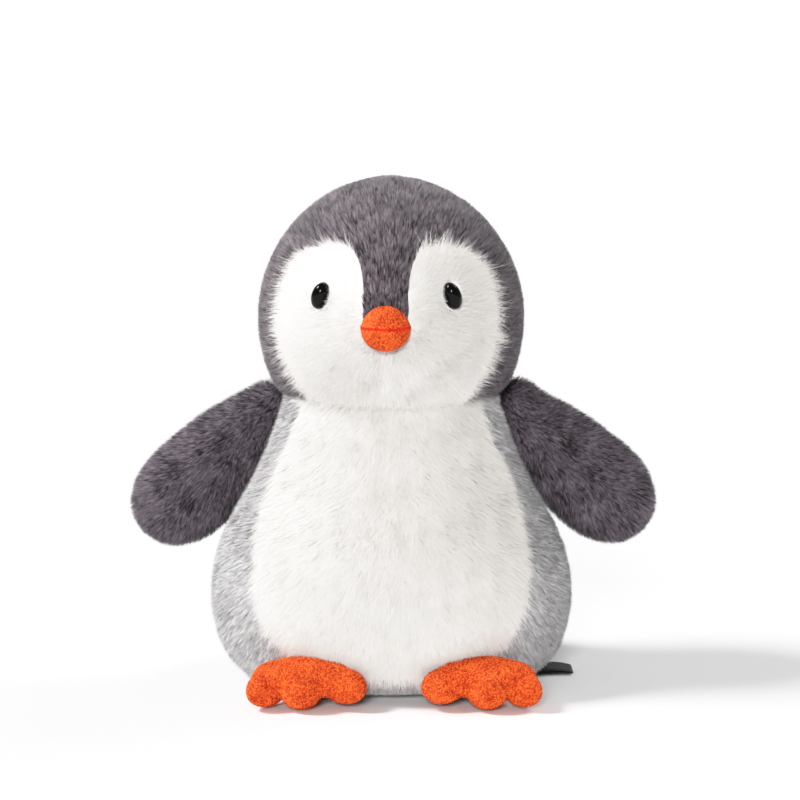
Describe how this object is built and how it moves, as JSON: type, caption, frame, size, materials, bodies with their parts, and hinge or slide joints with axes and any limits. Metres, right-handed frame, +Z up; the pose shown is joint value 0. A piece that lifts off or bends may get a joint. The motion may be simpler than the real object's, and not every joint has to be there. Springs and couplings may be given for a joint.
{
  "type": "plush penguin",
  "caption": "Sitting stuffed penguin chick in brushed plush with flippers, a sewn beak, domed eyes and toed terry feet on a flat weighted base.",
  "frame": {"origin": "on the floor plane, under the middle of the body's flat base panel", "axes": "+Z up through the head, the penguin faces -Y, +X towards its left flipper"},
  "size_m": [0.2418, 0.1455, 0.224],
  "materials": {
    "white_plush": "warm white brushed plush, 8 mm pile",
    "silver_plush": "light grey brushed plush, 8 mm pile",
    "slate_plush": "dark purple-grey brushed plush, 8 mm pile",
    "orange_terry": "orange looped terry",
    "polyester_filling": "white polyester fibre filling",
    "cotton_bag": "unbleached cotton",
    "plastic_pellets": "loose translucent polyethylene pellets, drawn as one mass",
    "eye_plastic": "glossy black",
    "washer_plastic": "natural white",
    "label_ribbon": "dark satin ribbon, blank"
  },
  "bodies": {
    "torso": {"belly_panel": "white_plush", "side_back_panel_left": "silver_plush", "side_back_panel_right": "silver_plush", "base_panel": "silver_plush", "body_filling": "polyester_filling", "pellet_bag_upper": "cotton_bag", "pellet_bag_lower": "cotton_bag", "pellets": "plastic_pellets"},
    "head": {"eye_left": "eye_plastic", "eye_right": "eye_plastic", "eye_washer_left": "washer_plastic", "eye_washer_right": "washer_plastic", "cheek_panel_left": "white_plush", "cheek_panel_right": "white_plush", "head_back_panel_left": "slate_plush", "head_back_panel_right": "slate_plush", "crown_panel": "slate_plush", "head_filling": "polyester_filling", "beak_upper": "orange_terry", "beak_lower": "orange_terry", "beak_filling": "polyester_filling"},
    "flipper_left": {"flipper_front_left": "slate_plush", "flipper_back_left": "slate_plush", "flipper_filling_left": "polyester_filling"},
    "flipper_right": {"flipper_front_right": "slate_plush", "flipper_back_right": "slate_plush", "flipper_filling_right": "polyester_filling"},
    "foot_left": {"foot_upper_left": "orange_terry", "foot_sole_left": "orange_terry", "foot_filling_left": "polyester_filling"},
    "foot_right": {"foot_upper_right": "orange_terry", "foot_sole_right": "orange_terry", "foot_filling_right": "polyester_filling"},
    "label": {"care_label": "label_ribbon"}
  },
  "joints": [
    {"name": "head_turn", "type": "hinge", "parent": "torso", "child": "head", "pos_m": [0, 0, 0.1265], "axis": [0, 0, 1], "range_deg": [-20, 20], "stiffness_Nm_per_rad": 0.05},
    {"name": "flipper_lift_left", "type": "hinge", "parent": "torso", "child": "flipper_left", "pos_m": [0.0565, 0.013, 0.117], "axis": [0, -1, 0], "range_deg": [-5, 50], "stiffness_Nm_per_rad": 0.02, "springref_deg": 2.18},
    {"name": "flipper_lift_right", "type": "hinge", "parent": "torso", "child": "flipper_right", "pos_m": [-0.0565, 0.013, 0.117], "axis": [0, 1, 0], "range_deg": [-5, 50], "stiffness_Nm_per_rad": 0.02, "springref_deg": 2.18},
    {"name": "foot_tip_left", "type": "hinge", "parent": "torso", "child": "foot_left", "pos_m": [0.04, -0.059, 0.016], "axis": [-1, 0, 0], "range_deg": [0, 18], "stiffness_Nm_per_rad": 0.01, "springref_deg": 0.34},
    {"name": "foot_tip_right", "type": "hinge", "parent": "torso", "child": "foot_right", "pos_m": [-0.037, -0.059, 0.016], "axis": [-1, 0, 0], "range_deg": [0, 18], "stiffness_Nm_per_rad": 0.01, "springref_deg": 0.34},
    {"name": "label_flap", "type": "hinge", "parent": "torso", "child": "label", "pos_m": [0.063, -0.001, 0.0026], "axis": [0, -1, 0], "range_deg": [0, 30], "stiffness_Nm_per_rad": 0.0002, "springref_deg": 0.69}
  ]
}
